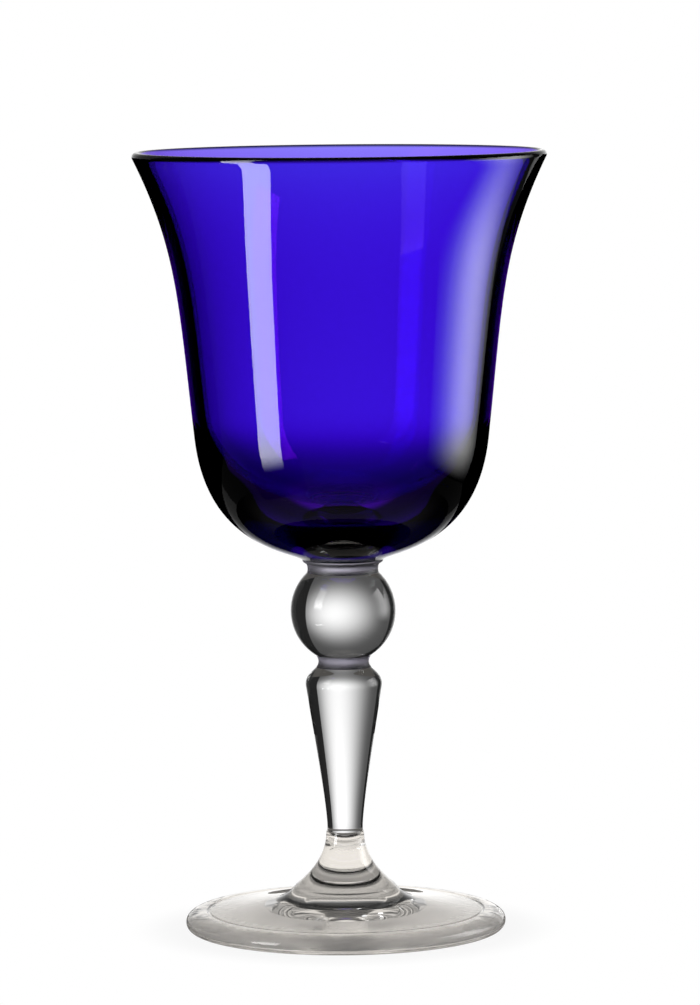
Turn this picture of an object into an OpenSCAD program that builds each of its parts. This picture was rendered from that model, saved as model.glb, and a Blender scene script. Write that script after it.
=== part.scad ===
// Stemmed glass goblet: a bell-shaped cobalt bowl on a clear ball knop, baluster stem and disc foot.
// Each gather of glass is its own solid, and neighbours meet on a shared face.
// Millimetres, +Z up. The origin is on the axis at table level, under the foot.

/* [Foot] */
// Radius of the disc foot at its widest
foot_r = 36.6; // [32:0.1:42]
// Radius at which the foot's top begins to round over into the edge
foot_top_r = 31; // [27:0.1:31.5]
// Height of the foot's top above the table where it begins to round over
foot_edge_h = 4.4; // [3.6:0.1:6]
// Rise of the foot's top from there up to the hub
foot_rise = 2.3; // [1:0.1:3]
// Height of the hollow under the foot
foot_hollow_h = 1.4; // [0.5:0.1:2]
// Radius of the ground pontil mark under the foot
pontil_r = 7; // [4:0.1:10]
// Depth of the pontil mark
pontil_depth = 0.6; // [0.2:0.1:0.8]

/* [Hub] */
// Radius of the hub's skirt on the foot
hub_r = 16; // [13:0.1:20]
// Height of the hub, from the foot's top to its lip
hub_h = 15.9; // [12:0.1:20]
// Radius of the hub's lip
hub_lip_r = 4.3; // [4.2:0.1:5]
// Depth of the cup that holds the stem's tip
cup_depth = 2.4; // [1.5:0.1:4]

/* [Stem] */
// Length of the stem, from the hub's lip up to the knop collar
stem_h = 37.8; // [28:0.1:50]
// Radius of the stem at its tip
stem_tip_r = 4.05; // [3.2:0.05:4.1]
// Radius of the stem's shoulder
shoulder_r = 8.7; // [7.5:0.1:11]
// Height of the sloping shoulder
shoulder_h = 4.2; // [3:0.1:6]

/* [Knop] */
// Radius of the ball
ball_r = 12; // [10:0.1:16]
// Radius of the flat that joins the ball to the collar under it
ball_low_r = 6.3; // [5.8:0.1:7]
// Radius of the flat that joins the ball to the collar over it
ball_high_r = 8.15; // [7:0.05:8.4]
// Height of the thin collar between the stem and the ball
knop_collar_h = 2.7; // [2:0.1:4]
// Radius of the stem's top, under that collar
knop_collar_r = 6.2; // [5.6:0.1:7]
// Height of the collar between the ball and the bowl
bowl_collar_h = 2.9; // [2.4:0.1:4]
// Radius of that collar where it spreads under the bowl
bowl_collar_r = 9.2; // [8.6:0.1:11]

/* [Bowl] */
// Height of the bowl above its collar
bowl_h = 93; // [85:0.5:105]
// Radius of the rim, outside
rim_r = 47; // [44:0.1:52]
// Radius of the waist, outside, where the bowl's side turns into its rounded bottom
waist_r = 33.5; // [31.5:0.1:36]
// Height of the waist above the bowl's base
waist_h = 28; // [26:0.1:32]
// Thickness of the wall at the fire-polished rim
rim_wall = 2; // [1.6:0.1:2.6]
// How much more the inside leans than the outside just under the rim, so that the wall thickens there
rim_thickens = 0.08; // [0:0.01:0.12]
// Thickness of the wall at the waist
waist_wall = 3.1; // [2.6:0.1:3.4]
// Thickness of the solid bottom, on the axis
bottom_h = 8.2; // [7:0.1:12]
// Share of the cavity's lower depth over which it keeps its side slope
floor_drop = 0.9; // [0.7:0.05:0.95]
// Share of the cavity's radius over which its floor stays nearly level
floor_flat = 0.25; // [0.2:0.05:0.7]

/* [Hidden] */
$fn = 180;
curve_steps = 24;        // straight steps along each curve of an outline
tip_straight_h = 1.4;    // straight length of the stem above the hub's lip
rim_slope = 0.486;       // how far the bowl's side leans out at the rim, for each unit of height
waist_slope = 0.109;     // and at the waist

// Heights of the joints, from the table up
hub_z = foot_edge_h + foot_rise;
stem_z = hub_z + hub_h;
knop_collar_z = stem_z + stem_h;
ball_z = knop_collar_z + knop_collar_h;
ball_mid_z = ball_z + sqrt(ball_r * ball_r - ball_low_r * ball_low_r);
bowl_collar_z = ball_mid_z + sqrt(ball_r * ball_r - ball_high_r * ball_high_r);
bowl_z = bowl_collar_z + bowl_collar_h;
rim_z = bowl_z + bowl_h;

// The points of a cubic curve from a to d, which leaves a towards b and reaches d from c.
function curve(a, b, c, d) = [
    for (i = [0 : curve_steps])
        let (t = i / curve_steps, s = 1 - t)
            s * s * s * a + 3 * s * s * t * b + 3 * s * t * t * c + t * t * t * d
];

// The points of a circle's arc round centre, from one angle to another.
function arc(centre, r, from, to) = [
    for (i = [0 : curve_steps])
        let (angle = from + (to - from) * i / curve_steps)
            centre + r * [cos(angle), sin(angle)]
];

// A list of points without its first one, for joining to a list that ends there.
function rest(points) = [for (i = [1 : len(points) - 1]) points[i]];

function reversed(points) = [for (i = [len(points) - 1 : -1 : 0]) points[i]];

// The stem's rounded tip, from the hub's lip down to the axis. The hub's cup has the same outline.
function tip_outline() = curve(
    [stem_tip_r, stem_z],
    [stem_tip_r, stem_z - 0.7 * cup_depth],
    [0.65 * stem_tip_r, stem_z - cup_depth],
    [0, stem_z - cup_depth]);

module turned(outline) {
    rotate_extrude() polygon(outline);
}

// Thick disc with a rounded edge. It stands on a flat ring, and is hollow inside that ring.
module foot_disc() {
    widest_z = 0.43 * foot_edge_h;
    ring_out_r = foot_r - 2;
    ring_in_r = foot_r - 5.5;
    hollow_z = foot_hollow_h - pontil_depth * 0.3;
    top = curve(
        [hub_r, hub_z],
        [hub_r + 5, hub_z - 0.4 * foot_rise],
        [foot_top_r - 5, foot_edge_h + 0.2 * foot_rise],
        [foot_top_r, foot_edge_h]);
    edge = curve(
        [foot_top_r, foot_edge_h],
        [foot_top_r + 0.6 * (foot_r - foot_top_r), foot_edge_h - 0.1],
        [foot_r, widest_z + 0.4 * foot_edge_h],
        [foot_r, widest_z]);
    under_edge = curve(
        [foot_r, widest_z],
        [foot_r, 0.4 * widest_z],
        [ring_out_r + 1.2, 0],
        [ring_out_r, 0]);
    hollow = curve(
        [ring_in_r, 0],
        [0.8 * ring_in_r, 0.7 * hollow_z],
        [pontil_r + 6, hollow_z],
        [pontil_r, hollow_z]);
    pontil = curve(
        [pontil_r, hollow_z],
        [0.8 * pontil_r, hollow_z + 0.7 * pontil_depth],
        [0.4 * pontil_r, hollow_z + pontil_depth],
        [0, hollow_z + pontil_depth]);
    color("gainsboro")
        turned(concat([[0, hub_z]], top, rest(edge), rest(under_edge), hollow, rest(pontil)));
}

// Trumpet that holds the stem's tip in a shallow cup and spreads on to the foot.
module foot_hub() {
    flank = curve(
        [hub_lip_r, stem_z - 0.3],
        [hub_lip_r + 0.1, stem_z - 0.36 * hub_h],
        [0.48 * hub_r, hub_z + 0.4 * hub_h],
        [0.72 * hub_r, hub_z + 0.2 * hub_h]);
    skirt = curve(
        [0.72 * hub_r, hub_z + 0.2 * hub_h],
        [0.8 * hub_r, hub_z + 0.1 * hub_h],
        [0.9 * hub_r, hub_z + 0.035 * hub_h],
        [hub_r, hub_z]);
    lip = [[0.7 * hub_lip_r + 0.3 * stem_tip_r, stem_z]];
    color("gainsboro")
        turned(concat(reversed(tip_outline()), lip, flank, rest(skirt), [[0, hub_z]]));
}

// Solid baluster: a sloping shoulder above, a long taper, and a rounded tip in the hub's cup.
module baluster_stem() {
    shoulder_z = knop_collar_z - shoulder_h;
    straight_z = stem_z + tip_straight_h;
    taper_h = shoulder_z - straight_z;
    shoulder = curve(
        [knop_collar_r, knop_collar_z],
        [knop_collar_r + 1.1, knop_collar_z - 0.29 * shoulder_h],
        [shoulder_r + 0.2, knop_collar_z - 0.5 * shoulder_h],
        [shoulder_r, shoulder_z]);
    taper = curve(
        [shoulder_r, shoulder_z],
        [shoulder_r - 0.3 * (shoulder_r - stem_tip_r), shoulder_z - 0.28 * taper_h],
        [stem_tip_r + 0.06 * (shoulder_r - stem_tip_r), straight_z + 0.19 * taper_h],
        [stem_tip_r, straight_z]);
    color("gainsboro")
        turned(concat([[0, knop_collar_z]], shoulder, rest(taper), tip_outline()));
}

// Thin waisted ring of glass between the stem and the ball.
module knop_collar() {
    side = curve(
        [knop_collar_r, knop_collar_z],
        [knop_collar_r - 0.75, knop_collar_z + 0.33 * knop_collar_h],
        [ball_low_r - 0.55, ball_z - 0.22 * knop_collar_h],
        [ball_low_r, ball_z]);
    color("lavender")
        turned(concat([[0, knop_collar_z]], side, [[0, ball_z]]));
}

// Solid ball, flat where the two collars join it.
module ball_knop() {
    color("gainsboro") intersection() {
        translate([0, 0, ball_mid_z]) sphere(r = ball_r);
        translate([0, 0, ball_z]) cylinder(r = 2 * ball_r, h = bowl_collar_z - ball_z);
    }
}

// Clear collar that spreads under the bowl.
module bowl_collar() {
    neck_r = ball_high_r - 0.1;
    neck = curve(
        [ball_high_r, bowl_collar_z],
        [neck_r - 0.05, bowl_collar_z + 0.2 * bowl_collar_h],
        [neck_r - 0.05, bowl_collar_z + 0.55 * bowl_collar_h],
        [neck_r + 0.35, bowl_collar_z + 0.7 * bowl_collar_h]);
    spread = curve(
        [neck_r + 0.35, bowl_collar_z + 0.7 * bowl_collar_h],
        [neck_r + 0.75, bowl_collar_z + 0.8 * bowl_collar_h],
        [bowl_collar_r, bowl_collar_z + 0.82 * bowl_collar_h],
        [bowl_collar_r, bowl_z]);
    color("gainsboro")
        turned(concat([[0, bowl_collar_z]], neck, rest(spread), [[0, bowl_z]]));
}

// Blown bowl: flared side, thick rounded bottom, and a wall that thins towards a fire-polished rim.
module bowl() {
    waist_z = bowl_z + waist_h;
    side_h = rim_z - waist_z;
    lean = atan(rim_slope);
    rim_radius = rim_wall / 2;
    rim_centre = [rim_r - rim_radius, rim_z - rim_radius];
    rim = arc(rim_centre, rim_radius, -lean, 180 - lean);
    rim_out = rim[0];
    rim_in = rim[curve_steps];
    flare = 0.32 * side_h;
    bottom = curve(
        [bowl_collar_r, bowl_z],
        [bowl_collar_r + 2.7, bowl_z + 2.3],
        [0.92 * waist_r, bowl_z + 0.11 * waist_h],
        [waist_r, waist_z]);
    side = curve(
        [waist_r, waist_z],
        [waist_r + waist_slope * 0.48 * side_h, waist_z + 0.48 * side_h],
        rim_out - flare * [rim_slope, 1],
        rim_out);
    inner_waist = [waist_r - waist_wall + 0.5, waist_z + 5];
    inner_side = curve(
        rim_in,
        rim_in - flare * [rim_slope + rim_thickens, 1],
        inner_waist + 0.4 * side_h * [waist_slope, 1],
        inner_waist);
    floor_z = bowl_z + bottom_h;
    inner_bottom = curve(
        inner_waist,
        inner_waist - floor_drop * (inner_waist[1] - floor_z) * [waist_slope, 1],
        [floor_flat * inner_waist[0], floor_z],
        [0, floor_z]);
    color("mediumblue")
        turned(concat([[0, bowl_z]], bottom, rest(side), rest(rim), rest(inner_side), rest(inner_bottom)));
}

foot_disc();
foot_hub();
baluster_stem();
knop_collar();
ball_knop();
bowl_collar();
bowl();
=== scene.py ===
"""Looks of the stemmed goblet: cobalt bowl, clear ball knop, baluster stem and disc foot.

Every piece is turned about the goblet's axis from the same outline as its CAD node, in more steps.
The pieces are fused, so where two of them meet the light passes without bending. Only round the stem's tip,
inside the hub, is a thin gap of air left.
"""

import math

import bmesh
import bpy
from mathutils import Matrix, Vector


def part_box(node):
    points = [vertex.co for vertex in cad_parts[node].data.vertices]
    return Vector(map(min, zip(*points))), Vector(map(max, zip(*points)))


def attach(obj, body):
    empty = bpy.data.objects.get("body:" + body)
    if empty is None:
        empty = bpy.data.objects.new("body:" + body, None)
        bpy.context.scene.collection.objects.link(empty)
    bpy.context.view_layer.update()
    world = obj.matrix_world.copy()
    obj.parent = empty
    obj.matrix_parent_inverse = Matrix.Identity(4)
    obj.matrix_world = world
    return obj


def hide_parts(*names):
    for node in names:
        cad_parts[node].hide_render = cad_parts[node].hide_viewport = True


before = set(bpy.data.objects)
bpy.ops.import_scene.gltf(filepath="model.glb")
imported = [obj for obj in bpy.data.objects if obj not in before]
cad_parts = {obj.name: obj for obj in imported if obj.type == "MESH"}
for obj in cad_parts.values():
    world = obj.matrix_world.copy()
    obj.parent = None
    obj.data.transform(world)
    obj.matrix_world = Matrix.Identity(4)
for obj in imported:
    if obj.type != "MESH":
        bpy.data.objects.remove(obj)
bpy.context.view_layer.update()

MM = 0.001
TURNS = 256  # faces around the axis
STEPS = 48  # faces along each curve of an outline
SEAM_GAP = 0.01 * MM  # half the gap left between two fused pieces
SHARP_FROM = math.radians(28)  # an edge bent more than this shows as sharp
ON_AXIS = 1e-7  # a point nearer to the axis than this is on it

# ---------------------------------------------------------------- sizes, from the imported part

foot_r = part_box("foot_disc")[1].x
hub_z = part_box("foot_disc")[1].z
hub_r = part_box("foot_hub")[1].x
stem_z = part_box("foot_hub")[1].z
tip_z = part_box("baluster_stem")[0].z
shoulder_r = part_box("baluster_stem")[1].x
knop_collar_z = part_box("knop_collar")[0].z
ball_low_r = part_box("knop_collar")[1].x
ball_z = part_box("ball_knop")[0].z
ball_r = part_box("ball_knop")[1].x
bowl_collar_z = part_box("bowl_collar")[0].z
bowl_collar_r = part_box("bowl_collar")[1].x
bowl_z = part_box("bowl")[0].z
rim_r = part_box("bowl")[1].x
rim_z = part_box("bowl")[1].z

hub_h = stem_z - hub_z
bowl_collar_h = bowl_z - bowl_collar_z
ball_mid_z = ball_z + math.sqrt(ball_r**2 - ball_low_r**2)
ball_high_r = math.sqrt(ball_r**2 - (bowl_collar_z - ball_mid_z) ** 2)

# Sizes that no box gives, as in the part's source.
foot_top_r = 31 * MM
foot_edge_h = 4.4 * MM
foot_hollow_h = 1.4 * MM
pontil_r = 7 * MM
pontil_depth = 0.6 * MM
hub_lip_r = 4.3 * MM
stem_tip_r = 4.05 * MM
tip_straight_h = 1.4 * MM
shoulder_h = 4.2 * MM
knop_collar_r = 6.2 * MM
waist_r = 33.5 * MM
waist_h = 28 * MM
rim_wall = 2.0 * MM
rim_thickens = 0.08  # how much more the inside leans than the outside, just under the rim
waist_wall = 3.1 * MM
bottom_h = 8.2 * MM
floor_drop = 0.9  # how far the cavity keeps its side slope before it rounds into its floor
floor_flat = 0.25  # how far out the floor stays level
rim_slope = 0.486
waist_slope = 0.109


# ---------------------------------------------------------------- outlines and turning


def curve(a, b, c, d, steps=STEPS):
    """The points of a cubic curve from a to d, which leaves a towards b and reaches d from c."""
    points = []
    for i in range(steps + 1):
        t = i / steps
        s = 1 - t
        weights = (s**3, 3 * s * s * t, 3 * s * t * t, t**3)
        points.append(tuple(sum(w * p[k] for w, p in zip(weights, (a, b, c, d))) for k in (0, 1)))
    return points


def arc(centre, radius, start, end, steps=STEPS):
    """The points of a circle's arc round centre, between two angles in radians."""
    angles = [start + (end - start) * i / steps for i in range(steps + 1)]
    return [(centre[0] + radius * math.cos(a), centre[1] + radius * math.sin(a)) for a in angles]


def along(point, slope, height):
    """The point that is height further up a line which leans out by slope."""
    return (point[0] + slope * height, point[1] + height)


def turned(name, runs, materials):
    """A closed mesh turned about Z.

    Each run is (points, material number), and starts where the last one ended.
    """
    mesh = bpy.data.meshes.new(name)
    shape = bmesh.new()

    def ring(point):
        radius, height = point
        if radius < ON_AXIS:
            return [shape.verts.new((0, 0, height))]
        angles = [2 * math.pi * i / TURNS for i in range(TURNS)]
        return [shape.verts.new((radius * math.cos(a), radius * math.sin(a), height)) for a in angles]

    below = ring(runs[0][0][0])
    for points, material in runs:
        for point in points[1:]:
            above = ring(point)
            for i in range(TURNS):
                j = (i + 1) % TURNS
                if len(below) == 1:
                    corners = (below[0], above[j], above[i])
                elif len(above) == 1:
                    corners = (below[i], below[j], above[0])
                else:
                    corners = (below[i], below[j], above[j], above[i])
                face = shape.faces.new(corners)
                face.material_index = material
                face.smooth = True
            below = above
    bmesh.ops.recalc_face_normals(shape, faces=shape.faces)
    shape.to_mesh(mesh)
    shape.free()
    mesh.set_sharp_from_angle(angle=SHARP_FROM)
    for material in materials:
        mesh.materials.append(material)
    piece = bpy.data.objects.new(name, mesh)
    bpy.context.scene.collection.objects.link(piece)
    return piece


# ---------------------------------------------------------------- materials


def new_material(name):
    material = bpy.data.materials.new(name)
    material.use_nodes = True
    material.node_tree.nodes.clear()
    return material, material.node_tree


def node(tree, kind, settings=None, **links):
    """A new shader node, with plain values for its sockets in settings and sockets to link in links."""
    made = tree.nodes.new(kind)
    for key, value in (settings or {}).items():
        made.inputs[key].default_value = value
    for key, source in links.items():
        tree.links.new(source, made.inputs[key.replace("_", " ")])
    return made


def absorption(tree, per_metre):
    """Volume that takes up red, green and blue light at these rates, for each metre of glass."""
    densest = max(per_metre)
    kept = [1 - rate / densest for rate in per_metre]
    return node(tree, "ShaderNodeVolumeAbsorption", {"Color": (*kept, 1), "Density": densest})


POLISH_SCALE = 90.0  # patches of better and worse polish, to the metre
SMOOTH = 0.02


def glass(name, tint, per_metre, wave_size, wave_depth, roughest=SMOOTH):
    """Glass with slow waves in its surface and an uneven polish, up to the roughest."""
    material, tree = new_material(name)
    place = node(tree, "ShaderNodeTexCoord").outputs["Object"]
    waves = node(tree, "ShaderNodeTexNoise", {"Scale": 1 / wave_size, "Detail": 2.0}, Vector=place)
    bump = node(
        tree,
        "ShaderNodeBump",
        {"Strength": 1.0, "Distance": wave_depth},
        Height=waves.outputs["Fac"],
    )
    polish = node(tree, "ShaderNodeTexNoise", {"Scale": POLISH_SCALE, "Detail": 3.0}, Vector=place)
    rough = node(
        tree,
        "ShaderNodeMapRange",
        {"To Min": 0.0, "To Max": roughest},
        Value=polish.outputs["Fac"],
    )
    shader = node(
        tree,
        "ShaderNodeBsdfPrincipled",
        {"Base Color": (*tint, 1), "Transmission Weight": 1.0, "IOR": 1.5},
        Roughness=rough.outputs["Result"],
        Normal=bump.outputs["Normal"],
    )
    output = node(tree, "ShaderNodeOutputMaterial", Surface=shader.outputs["BSDF"])
    tree.links.new(absorption(tree, per_metre).outputs["Volume"], output.inputs["Volume"])
    return material


def seam(name, tint, per_metre):
    """The fused face between two pieces. Light passes straight on, with the tint of one face of a wall."""
    material, tree = new_material(name)
    face_tint = [math.sqrt(share) for share in tint]
    clear = node(tree, "ShaderNodeBsdfTransparent", {"Color": (*face_tint, 1)})
    output = node(tree, "ShaderNodeOutputMaterial", Surface=clear.outputs["BSDF"])
    tree.links.new(absorption(tree, per_metre).outputs["Volume"], output.inputs["Volume"])
    return material


# Red, green and blue light taken up for each metre of glass. The rates are matched to the look and are not
# those of a known glass.
COBALT = (129.0, 858.0, 76.0)
CLEAR = (9.0, 9.0, 9.0)
FOOT_CLEAR = (0.5, 0.5, 0.5)

# Colour given by the two faces of a wall, whatever its thickness.
COBALT_TINT = (0.281, 1.0, 1.0)
NO_TINT = (1.0, 1.0, 1.0)
# The collars' violet is painted light from the blue bowl, not a colour of their glass.
COLLAR_PAINTED_VIOLET_GLOW = (0.88, 0.84, 1.0)

# Both collars are rough, and their faint violet is painted light: it stands in for the bowl's blue light
# carried down into them. This too is matched to the look.
JOINT_ROUGHEST = 1.2
WORN_ROUGHEST = 0.9
FOLD_WAVE = 7 * MM
FOLD_WAVE_DEPTH = 0.25 * MM

cobalt_glass = glass("cobalt_glass", COBALT_TINT, COBALT, 25 * MM, 0.02 * MM)
clear_glass = glass("clear_glass", NO_TINT, CLEAR, 12 * MM, 0.01 * MM)
joint_glass_painted_violet = glass("joint_glass_painted_violet", COLLAR_PAINTED_VIOLET_GLOW, CLEAR, 2 * MM, 0.05 * MM, JOINT_ROUGHEST)
foot_glass = glass("foot_glass", NO_TINT, FOOT_CLEAR, 12 * MM, 0.01 * MM)
worn_glass = glass("worn_glass", NO_TINT, FOOT_CLEAR, 2 * MM, 0.02 * MM, WORN_ROUGHEST)
folded_glass = glass("folded_glass", NO_TINT, FOOT_CLEAR, FOLD_WAVE, FOLD_WAVE_DEPTH)
cobalt_seam = seam("cobalt_seam", COBALT_TINT, COBALT)
clear_seam = seam("clear_seam", NO_TINT, CLEAR)
foot_seam = seam("foot_seam", NO_TINT, FOOT_CLEAR)

# ---------------------------------------------------------------- bowl

waist_z = bowl_z + waist_h
side_h = rim_z - waist_z
lean = math.atan(rim_slope)
rim_centre = (rim_r - rim_wall / 2, rim_z - rim_wall / 2)
rim = arc(rim_centre, rim_wall / 2, -lean, math.pi - lean, 24)
flare = 0.32 * side_h
bowl_base = (bowl_collar_r, bowl_z + SEAM_GAP)
waist = (waist_r, waist_z)
bottom = curve(
    bowl_base,
    (bowl_collar_r + 2.7 * MM, bowl_z + 2.3 * MM),
    (0.92 * waist_r, bowl_z + 0.11 * waist_h),
    waist,
)
side = curve(waist, along(waist, waist_slope, 0.48 * side_h), along(rim[0], rim_slope, -flare), rim[0])
inner_waist = (waist_r - waist_wall + 0.5 * MM, waist_z + 5 * MM)
inner_side = curve(
    rim[-1],
    along(rim[-1], rim_slope + rim_thickens, -flare),
    along(inner_waist, waist_slope, 0.4 * side_h),
    inner_waist,
)
floor_z = bowl_z + bottom_h
inner_bottom = curve(
    inner_waist,
    along(inner_waist, waist_slope, -floor_drop * (inner_waist[1] - floor_z)),
    (floor_flat * inner_waist[0], floor_z),
    (0, floor_z),
)
bowl = turned(
    "bowl_glass",
    [
        ([(0, bowl_z + SEAM_GAP), bowl_base], 1),
        (bottom, 0),
        (side, 0),
        (rim, 0),
        (inner_side, 0),
        (inner_bottom, 0),
    ],
    [cobalt_glass, cobalt_seam],
)

# ---------------------------------------------------------------- collar under the bowl

neck_r = ball_high_r - 0.1 * MM
neck_top = (neck_r + 0.35 * MM, bowl_collar_z + 0.7 * bowl_collar_h)
collar_base = (ball_high_r, bowl_collar_z + SEAM_GAP)
collar_top = (bowl_collar_r, bowl_z - SEAM_GAP)
neck = curve(
    collar_base,
    (neck_r - 0.05 * MM, bowl_collar_z + 0.2 * bowl_collar_h),
    (neck_r - 0.05 * MM, bowl_collar_z + 0.55 * bowl_collar_h),
    neck_top,
)
spread = curve(
    neck_top,
    (neck_r + 0.75 * MM, bowl_collar_z + 0.8 * bowl_collar_h),
    (bowl_collar_r, bowl_collar_z + 0.82 * bowl_collar_h),
    collar_top,
)
bowl_collar = turned(
    "bowl_collar_glass",
    [
        ([(0, collar_base[1]), collar_base], 1),
        (neck, 0),
        (spread, 0),
        ([collar_top, (0, collar_top[1])], 1),
    ],
    [joint_glass_painted_violet, clear_seam],
)

# ---------------------------------------------------------------- ball and its lower collar

low_angle = math.asin((ball_z + SEAM_GAP - ball_mid_z) / ball_r)
high_angle = math.asin((bowl_collar_z - SEAM_GAP - ball_mid_z) / ball_r)
round_side = arc((0, ball_mid_z), ball_r, low_angle, high_angle, 96)
ball = turned(
    "ball_knop_glass",
    [
        ([(0, round_side[0][1]), round_side[0]], 1),
        (round_side, 0),
        ([round_side[-1], (0, round_side[-1][1])], 1),
    ],
    [clear_glass, clear_seam],
)

knop_collar_h = ball_z - knop_collar_z
knop_base = (knop_collar_r, knop_collar_z + SEAM_GAP)
knop_top = (ball_low_r, ball_z - SEAM_GAP)
knop_side = curve(
    knop_base,
    (knop_collar_r - 0.75 * MM, knop_collar_z + 0.33 * knop_collar_h),
    (ball_low_r - 0.55 * MM, ball_z - 0.22 * knop_collar_h),
    knop_top,
)
knop_collar = turned(
    "knop_collar_glass",
    [([(0, knop_base[1]), knop_base], 1), (knop_side, 0), ([knop_top, (0, knop_top[1])], 1)],
    [joint_glass_painted_violet, clear_seam],
)

# ---------------------------------------------------------------- stem

cup_depth = stem_z - tip_z
shoulder_z = knop_collar_z - shoulder_h
straight_z = stem_z + tip_straight_h
taper_h = shoulder_z - straight_z
narrowing = shoulder_r - stem_tip_r


def tip_outline(gap):
    """The stem's rounded tip, from the hub's lip down to the axis, drawn in by gap."""
    radius = stem_tip_r - gap
    return curve(
        (radius, stem_z),
        (radius, stem_z - 0.7 * cup_depth),
        (0.65 * radius, tip_z + gap),
        (0, tip_z + gap),
    )


stem_top = (knop_collar_r, knop_collar_z - SEAM_GAP)
shoulder = curve(
    stem_top,
    (knop_collar_r + 1.1 * MM, knop_collar_z - 0.29 * shoulder_h),
    (shoulder_r + 0.2 * MM, knop_collar_z - 0.5 * shoulder_h),
    (shoulder_r, shoulder_z),
)
tip = tip_outline(SEAM_GAP)
taper = curve(
    (shoulder_r, shoulder_z),
    (shoulder_r - 0.3 * narrowing, shoulder_z - 0.28 * taper_h),
    (stem_tip_r + 0.06 * narrowing, straight_z + 0.19 * taper_h),
    (tip[0][0], straight_z),
)
stem = turned(
    "baluster_stem_glass",
    [
        ([(0, stem_top[1]), stem_top], 1),
        (shoulder, 0),
        (taper, 0),
        ([taper[-1], tip[0]], 0),
        (tip, 0),
    ],
    [clear_glass, clear_seam],
)

# ---------------------------------------------------------------- hub and foot

cup = tip_outline(-SEAM_GAP)
lip = (0.7 * hub_lip_r + 0.3 * stem_tip_r, stem_z)
flank = curve(
    (hub_lip_r, stem_z - 0.3 * MM),
    (hub_lip_r + 0.1 * MM, stem_z - 0.36 * hub_h),
    (0.48 * hub_r, hub_z + 0.4 * hub_h),
    (0.72 * hub_r, hub_z + 0.2 * hub_h),
)
hub_edge = (hub_r, hub_z + SEAM_GAP)
skirt = curve(
    flank[-1],
    (0.8 * hub_r, hub_z + 0.1 * hub_h),
    (0.9 * hub_r, hub_z + 0.035 * hub_h),
    hub_edge,
)
hub = turned(
    "foot_hub_glass",
    [
        (cup[::-1], 0),
        ([cup[0], lip, flank[0]], 0),
        (flank, 0),
        (skirt, 0),
        ([hub_edge, (0, hub_edge[1])], 1),
    ],
    [foot_glass, foot_seam],
)

widest_z = 0.43 * foot_edge_h
ring_out = (foot_r - 2 * MM, 0)
ring_in = (foot_r - 5.5 * MM, 0)
hollow_z = foot_hollow_h - pontil_depth * 0.3
foot_rise = hub_z - foot_edge_h
foot_start = (hub_r, hub_z - SEAM_GAP)
foot_top = curve(
    foot_start,
    (hub_r + 5 * MM, hub_z - 0.4 * foot_rise),
    (foot_top_r - 5 * MM, foot_edge_h + 0.2 * foot_rise),
    (foot_top_r, foot_edge_h),
)
FOLD_DEPTH = 0.22 * MM  # groove where the foot's edge is folded under
WORN_TO = 18 * MM  # the hollow underside is worn dull as far in as this
fold = curve(
    foot_top[-1],
    (foot_top_r + 0.25 * MM, foot_edge_h - 1.3 * FOLD_DEPTH),
    (foot_top_r + 0.45 * MM, foot_edge_h - 1.3 * FOLD_DEPTH),
    (foot_top_r + 0.9 * MM, foot_edge_h - 0.02 * MM),
    12,
)
foot_edge = curve(
    fold[-1],
    (foot_top_r + 0.6 * (foot_r - foot_top_r), foot_edge_h - 0.02 * MM),
    (foot_r, widest_z + 0.4 * foot_edge_h),
    (foot_r, widest_z),
)
under_edge = curve(foot_edge[-1], (foot_r, 0.4 * widest_z), (ring_out[0] + 1.2 * MM, 0), ring_out)
hollow = curve(
    ring_in,
    (0.8 * ring_in[0], 0.7 * hollow_z),
    (pontil_r + 6 * MM, hollow_z),
    (pontil_r, hollow_z),
)
worn_steps = sum(radius > WORN_TO for radius, height in hollow)
pontil = curve(
    hollow[-1],
    (0.8 * pontil_r, hollow_z + 0.7 * pontil_depth),
    (0.4 * pontil_r, hollow_z + pontil_depth),
    (0, hollow_z + pontil_depth),
)
foot = turned(
    "foot_disc_glass",
    [
        ([(0, foot_start[1]), foot_start], 1),
        (foot_top, 0),
        (fold, 3),
        (foot_edge, 3),
        (under_edge, 3),
        ([ring_out, ring_in], 3),
        (hollow[: worn_steps + 1], 2),
        (hollow[worn_steps:], 0),
        (pontil, 0),
    ],
    [foot_glass, foot_seam, worn_glass, folded_glass],
)

# ---------------------------------------------------------------- each piece takes its CAD node's place, and the node is hidden

for piece, cad_node, slot in (
    (bowl, "bowl", "cobalt_glass"),
    (bowl_collar, "bowl_collar", "clear_glass"),
    (ball, "ball_knop", "clear_glass"),
    (knop_collar, "knop_collar", "clear_glass"),
    (stem, "baluster_stem", "clear_glass"),
    (hub, "foot_hub", "clear_glass"),
    (foot, "foot_disc", "clear_glass"),
):
    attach(piece, "root")
    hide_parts(cad_node)

# ---------------------------------------------------------------- camera

LENS = 189.35
SENSOR = 36
CAMERA_AT = Vector((1.76 * MM, -1197.7 * MM, 216.9 * MM))
CAMERA_DOWN = math.radians(5.669)
CAMERA_ROLL = math.radians(-0.498)
camera_data = bpy.data.cameras.new("camera")
camera_data.lens = LENS
camera_data.sensor_width = SENSOR
camera = bpy.data.objects.new("camera", camera_data)
bpy.context.scene.collection.objects.link(camera)
camera.matrix_world = (
    Matrix.Translation(CAMERA_AT)
    @ Matrix.Rotation(math.pi / 2 - CAMERA_DOWN, 4, "X")
    @ Matrix.Rotation(CAMERA_ROLL, 4, "Z")
)
bpy.context.scene.camera = camera

# ---------------------------------------------------------------- studio

# The lights stand on a turntable that follows the camera, so the goblet is lit alike from every side.
turntable = bpy.data.objects.new("turntable", None)
bpy.context.scene.collection.objects.link(turntable)
follow = turntable.constraints.new("LOCKED_TRACK")
follow.target = camera
follow.track_axis = "TRACK_NEGATIVE_Y"
follow.lock_axis = "LOCK_Z"


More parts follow.
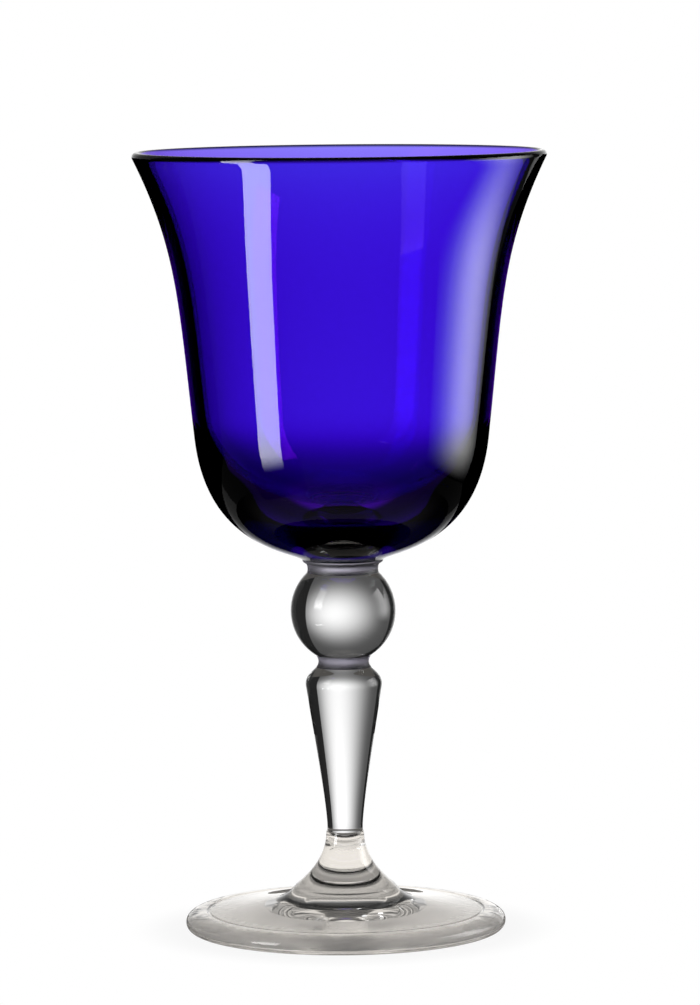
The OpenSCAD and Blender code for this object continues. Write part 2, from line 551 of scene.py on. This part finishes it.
def calculate(tree, operation, first, second=None):
    """The result of one sum, on numbers or on the outputs of other nodes."""
    made = tree.nodes.new("ShaderNodeMath")
    made.operation = operation
    for socket, value in zip(made.inputs, (first, second)):
        if isinstance(value, (int, float)):
            socket.default_value = value
        elif value is not None:
            tree.links.new(value, socket)
    return made.outputs[0]


def bell(tree, source, centre, width):
    """1 at the centre and less to both sides, as a bell curve of this width."""
    offset = calculate(tree, "DIVIDE", calculate(tree, "SUBTRACT", source, centre), width)
    square = calculate(tree, "MULTIPLY", offset, offset)
    return calculate(tree, "EXPONENT", calculate(tree, "MULTIPLY", square, -0.5))


def ramp(tree, source, start, end, level_at_start, level_at_end):
    """A soft change from one level to the other as the source goes from start to end."""
    values = {"From Min": start, "From Max": end, "To Min": level_at_start, "To Max": level_at_end}
    made = node(tree, "ShaderNodeMapRange", values, Value=source)
    made.interpolation_type = "SMOOTHSTEP"
    return made.outputs["Result"]


def light_material(name, level, colour=(1.0, 1.0, 1.0)):
    """A lit surface. Its level is worked out from its own X, Y and Z by the function level."""
    material, tree = new_material(name)
    place = node(tree, "ShaderNodeTexCoord")
    axes = node(tree, "ShaderNodeSeparateXYZ", Vector=place.outputs["Object"])
    light = node(tree, "ShaderNodeEmission", {"Color": (*colour, 1)})
    strength = level(tree, axes.outputs)
    if isinstance(strength, float):
        light.inputs["Strength"].default_value = strength
    else:
        tree.links.new(strength, light.inputs["Strength"])
    node(tree, "ShaderNodeOutputMaterial", Surface=light.outputs["Emission"])
    return material


def steady(level):
    """A light level that is the same all over."""
    return lambda tree, axes: level


def stage_piece(name, corners, material, seen_by):
    """A flat piece of the studio, seen only by these kinds of rays."""
    mesh = bpy.data.meshes.new(name)
    mesh.from_pydata(corners, [], [tuple(range(len(corners)))])
    mesh.materials.append(material)
    piece = bpy.data.objects.new(name, mesh)
    bpy.context.scene.collection.objects.link(piece)
    piece.parent = turntable
    piece.visible_camera = "camera" in seen_by
    piece.visible_glossy = "mirrored" in seen_by
    piece.visible_transmission = "through" in seen_by
    piece.visible_diffuse = False
    piece.visible_shadow = False
    return piece


def disc_corners(radius, steps=96):
    angles = [2 * math.pi * i / steps for i in range(steps)]
    return [(radius * math.cos(a), radius * math.sin(a), 0) for a in angles]


def panel(name, azimuth, distance, width, low, high, material, seen_by=("mirrored",), facing=None):
    """An upright panel beside the goblet. Azimuth is from the camera, positive to its right."""
    half = width / 2
    corners = [(-half, 0, low), (half, 0, low), (half, 0, high), (-half, 0, high)]
    made = stage_piece(name, corners, material, seen_by)
    made.location = (distance * math.sin(azimuth), -distance * math.cos(azimuth), 0)
    made.rotation_euler = (0, 0, (azimuth if facing is None else facing) + math.pi)
    return made


# The backdrop is lit by one lamp, so it is bright in the middle and fades to the sides, and up and down.
BACKDROP_AWAY = 2.5
GLOW_FLOOR = 0.11
GLOW_PEAK = 1.35
GLOW_ASIDE = math.radians(6.5)
GLOW_DOWN = math.radians(4.5)
GLOW_ACROSS = math.radians(17.5)
GLOW_UPWARD = math.radians(12.6)
BACKDROP_LEFT = -BACKDROP_AWAY * math.tan(math.radians(52))
BACKDROP_RIGHT = BACKDROP_AWAY * math.tan(math.radians(34))
BACKDROP_REACH = 3


def backdrop_level(tree, axes):
    across_width = BACKDROP_AWAY * math.tan(GLOW_ACROSS)
    upward_width = BACKDROP_AWAY * math.tan(GLOW_UPWARD)
    glow_z = ball_mid_z - BACKDROP_AWAY * math.tan(GLOW_DOWN)
    across = bell(tree, axes["X"], BACKDROP_AWAY * math.tan(GLOW_ASIDE), across_width)
    upward = bell(tree, axes["Z"], glow_z, upward_width)
    glow = calculate(tree, "MULTIPLY", calculate(tree, "MULTIPLY", across, upward), GLOW_PEAK - GLOW_FLOOR)
    return calculate(tree, "ADD", glow, GLOW_FLOOR)


backdrop = stage_piece(
    "backdrop",
    [
        (BACKDROP_LEFT, 0, -BACKDROP_REACH),
        (BACKDROP_RIGHT, 0, -BACKDROP_REACH),
        (BACKDROP_RIGHT, 0, BACKDROP_REACH),
        (BACKDROP_LEFT, 0, BACKDROP_REACH),
    ],
    light_material("backdrop_glow", backdrop_level),
    ("mirrored", "through"),
)
backdrop.location = (0, BACKDROP_AWAY, 0)

# Dark cards stand close behind the bowl's sides, so that its edges show dark against the backdrop.
# The right side has a long card for light passing through and a short one for mirrored light.
EDGE_CARD_BEHIND = 8 * MM
EDGE_CARD_GAP = 1.2 * MM
EDGE_CARD_OUT = 110 * MM
EDGE_CARD_SHORT = 56 * MM  # shorter where it would cut off the light on the right
for name, to, out, seen_by in (
    ("left_card", -1, EDGE_CARD_OUT, ("mirrored", "through")),
    ("right_card", 1, EDGE_CARD_OUT, ("through",)),
    ("right_short_card", 1, EDGE_CARD_SHORT, ("mirrored",)),
):
    outline = bottom[STEPS // 3 :] + side[1:]
    beside = [(to * (radius + EDGE_CARD_GAP), 0, height) for radius, height in outline]
    far_side = [(to * out, 0, rim_z), (to * out, 0, beside[0][2])]
    edge_card = stage_piece(name, beside + far_side, light_material(name + "_black", steady(0.0)), seen_by)
    edge_card.location = (0, EDGE_CARD_BEHIND, 0)

# A tall narrow light stands far off to the left. It is weaker high up.
STRIP_AWAY = 2.0
STRIP_MIDDLE = math.radians(-58.75)
STRIP_WIDTH = 2 * STRIP_AWAY * math.tan(math.radians(9.75))
STRIP_LEVEL = 8.5
STRIP_LEVEL_HIGH = 2.8
STRIP_FADE_FROM = STRIP_AWAY * math.tan(math.radians(10))
STRIP_FADE_TO = STRIP_AWAY * math.tan(math.radians(30))
STRIP_SEEN = ("mirrored", "through")
strip_reach = STRIP_AWAY * math.tan(math.radians(50))


def strip_level(tree, axes):
    return ramp(tree, axes["Z"], STRIP_FADE_FROM, STRIP_FADE_TO, STRIP_LEVEL, STRIP_LEVEL_HIGH)


panel(
    "strip_light",
    STRIP_MIDDLE,
    STRIP_AWAY,
    STRIP_WIDTH,
    -strip_reach,
    strip_reach,
    light_material("strip_glow", strip_level),
    STRIP_SEEN,
)


# A dark card near the goblet hides the strip from the bowl's rounded bottom and the ball's lower half.
CARD_ROUND = math.radians(-48)
CARD_AWAY = 90 * MM
CARD_WIDTH = 70 * MM
CARD_LOW = 38 * MM
CARD_HIGH = 95 * MM
CARD_DARK_TO = 76 * MM
CARD_CLEAR_FROM = 94 * MM


def card_material():
    """Dark below and clear above, with a soft change between."""
    material, tree = new_material("card")
    place = node(tree, "ShaderNodeTexCoord")
    axes = node(tree, "ShaderNodeSeparateXYZ", Vector=place.outputs["Object"])
    hidden = ramp(tree, axes.outputs["Z"], CARD_DARK_TO, CARD_CLEAR_FROM, 1.0, 0.0)
    clear = node(tree, "ShaderNodeBsdfTransparent")
    dark = node(tree, "ShaderNodeEmission", {"Color": (0, 0, 0, 1), "Strength": 0.0})
    mix = node(tree, "ShaderNodeMixShader", Fac=hidden)
    tree.links.new(clear.outputs["BSDF"], mix.inputs[1])
    tree.links.new(dark.outputs["Emission"], mix.inputs[2])
    node(tree, "ShaderNodeOutputMaterial", Surface=mix.outputs["Shader"])
    return material


panel("card", CARD_ROUND, CARD_AWAY, CARD_WIDTH, CARD_LOW, CARD_HIGH, card_material(), facing=STRIP_MIDDLE)

# A broad soft light stands close on the right, brightest in its middle and fading out towards the table.
SIDE_AWAY = 300 * MM
SIDE_ROUND = math.radians(99)
SIDE_SPREAD = 69 * MM
SIDE_PEAK = 4.4
SIDE_LOW = -30 * MM
SIDE_HIGH = 250 * MM
SIDE_FULL_FROM = 75 * MM


def side_level(tree, axes):
    across = bell(tree, axes["X"], 0.0, SIDE_SPREAD)
    upward = ramp(tree, axes["Z"], SIDE_LOW, SIDE_FULL_FROM, 0.0, SIDE_PEAK)
    return calculate(tree, "MULTIPLY", across, upward)


panel(
    "side_light",
    SIDE_ROUND,
    SIDE_AWAY,
    5 * SIDE_SPREAD,
    SIDE_LOW,
    SIDE_HIGH,
    light_material("side_glow", side_level),
)


# A dark card lies flat under the bowl, so that the bowl does not mirror the bright foot below it.
FLAG_HEIGHT = 45 * MM
FLAG_RADIUS = 42 * MM
flag = stage_piece(
    "flag", disc_corners(FLAG_RADIUS), light_material("flag_black", steady(0.0)), ("mirrored",)
)
flag.location = (0, 0, FLAG_HEIGHT)

# A round light hangs high overhead. Only rays passing through the glass see it.
TOP_HEIGHT = 1.0
TOP_RADIUS = 0.33
TOP_LEVEL = 3.0
top_light = stage_piece(
    "top_light",
    disc_corners(TOP_RADIUS),
    light_material("top_glow", steady(TOP_LEVEL)),
    ("through",),
)
top_light.location = (0, 0, TOP_HEIGHT)

# ---------------------------------------------------------------- table


def distance_out(tree, axes):
    """How far a point of the table is from the goblet's axis."""
    squares = [calculate(tree, "MULTIPLY", axes[key], axes[key]) for key in ("X", "Y")]
    return calculate(tree, "SQRT", calculate(tree, "ADD", *squares))


# The table as it shows through the glass: a painted pool of light under the foot, and painted shade further
# out.
UNDER_FOOT = 0.92
IN_SHADE = 0.1
BRIGHT_TO = 38 * MM
SHADE_FROM = 60 * MM


def table_through_level(tree, axes):
    return ramp(tree, distance_out(tree, axes), BRIGHT_TO, SHADE_FROM, UNDER_FOOT, IN_SHADE)


# The table as the glass mirrors it: lit close in front of the goblet and dark behind.
FRONT_TABLE = 0.12
FAR_TABLE = 0.02
FRONT_FULL_TO = 50 * MM
FRONT_EDGE = -20 * MM
BACK_EDGE = 60 * MM
BACK_SHARE = 0.1
TABLE_MIRRORED_R = 165 * MM
TABLE_THROUGH_R = 105 * MM


def table_mirrored_level(tree, axes):
    out = distance_out(tree, axes)
    close_by = ramp(tree, out, FRONT_FULL_TO, TABLE_MIRRORED_R, FRONT_TABLE, FAR_TABLE)
    in_front = ramp(tree, axes["Y"], FRONT_EDGE, BACK_EDGE, 1.0, BACK_SHARE)
    return calculate(tree, "MULTIPLY", close_by, in_front)


# The pale floor that the camera sees, with a faint shade where the foot stands.
FLOOR_R = 3.0
FLOOR_SHADE = 0.93
FLOOR_SHADE_WIDTH = 14 * MM


def floor_level(tree, axes):
    return ramp(tree, distance_out(tree, axes), foot_r, foot_r + FLOOR_SHADE_WIDTH, FLOOR_SHADE, 1.0)


WHITE = (1.0, 1.0, 1.0)
TABLE_COLOUR = (1.0, 0.95, 0.88)
for name, radius, height, level, seen_by in (
    ("floor", FLOOR_R, -0.1 * MM, floor_level, ("camera",)),
    ("table_through", TABLE_THROUGH_R, -0.3 * MM, table_through_level, ("through",)),
    ("table_mirrored", TABLE_MIRRORED_R, -0.5 * MM, table_mirrored_level, ("mirrored",)),
):
    colour = WHITE if name == "floor" else TABLE_COLOUR
    material = light_material(name + "_light", level, colour)
    surface = stage_piece(name, disc_corners(radius), material, seen_by)
    surface.location = (0, 0, height)

# The camera sees white paper all round. The glass stands in a dark room.
world = bpy.data.worlds.new("room")
bpy.context.scene.world = world
world.use_nodes = True
world.node_tree.nodes.clear()
path = node(world.node_tree, "ShaderNodeLightPath")
room = node(world.node_tree, "ShaderNodeBackground", {"Color": (0.022, 0.022, 0.022, 1)})
paper = node(world.node_tree, "ShaderNodeBackground", {"Color": (1, 1, 1, 1)})
choice = node(world.node_tree, "ShaderNodeMixShader", Fac=path.outputs["Is Camera Ray"])
world.node_tree.links.new(room.outputs[0], choice.inputs[1])
world.node_tree.links.new(paper.outputs[0], choice.inputs[2])
node(world.node_tree, "ShaderNodeOutputWorld", Surface=choice.outputs[0])

# ---------------------------------------------------------------- render set-up

bpy.context.scene.cycles.max_bounces = 32
bpy.context.scene.cycles.transmission_bounces = 32
bpy.context.scene.cycles.glossy_bounces = 16
bpy.context.scene.cycles.transparent_max_bounces = 32
bpy.context.scene.view_settings.view_transform = "Standard"
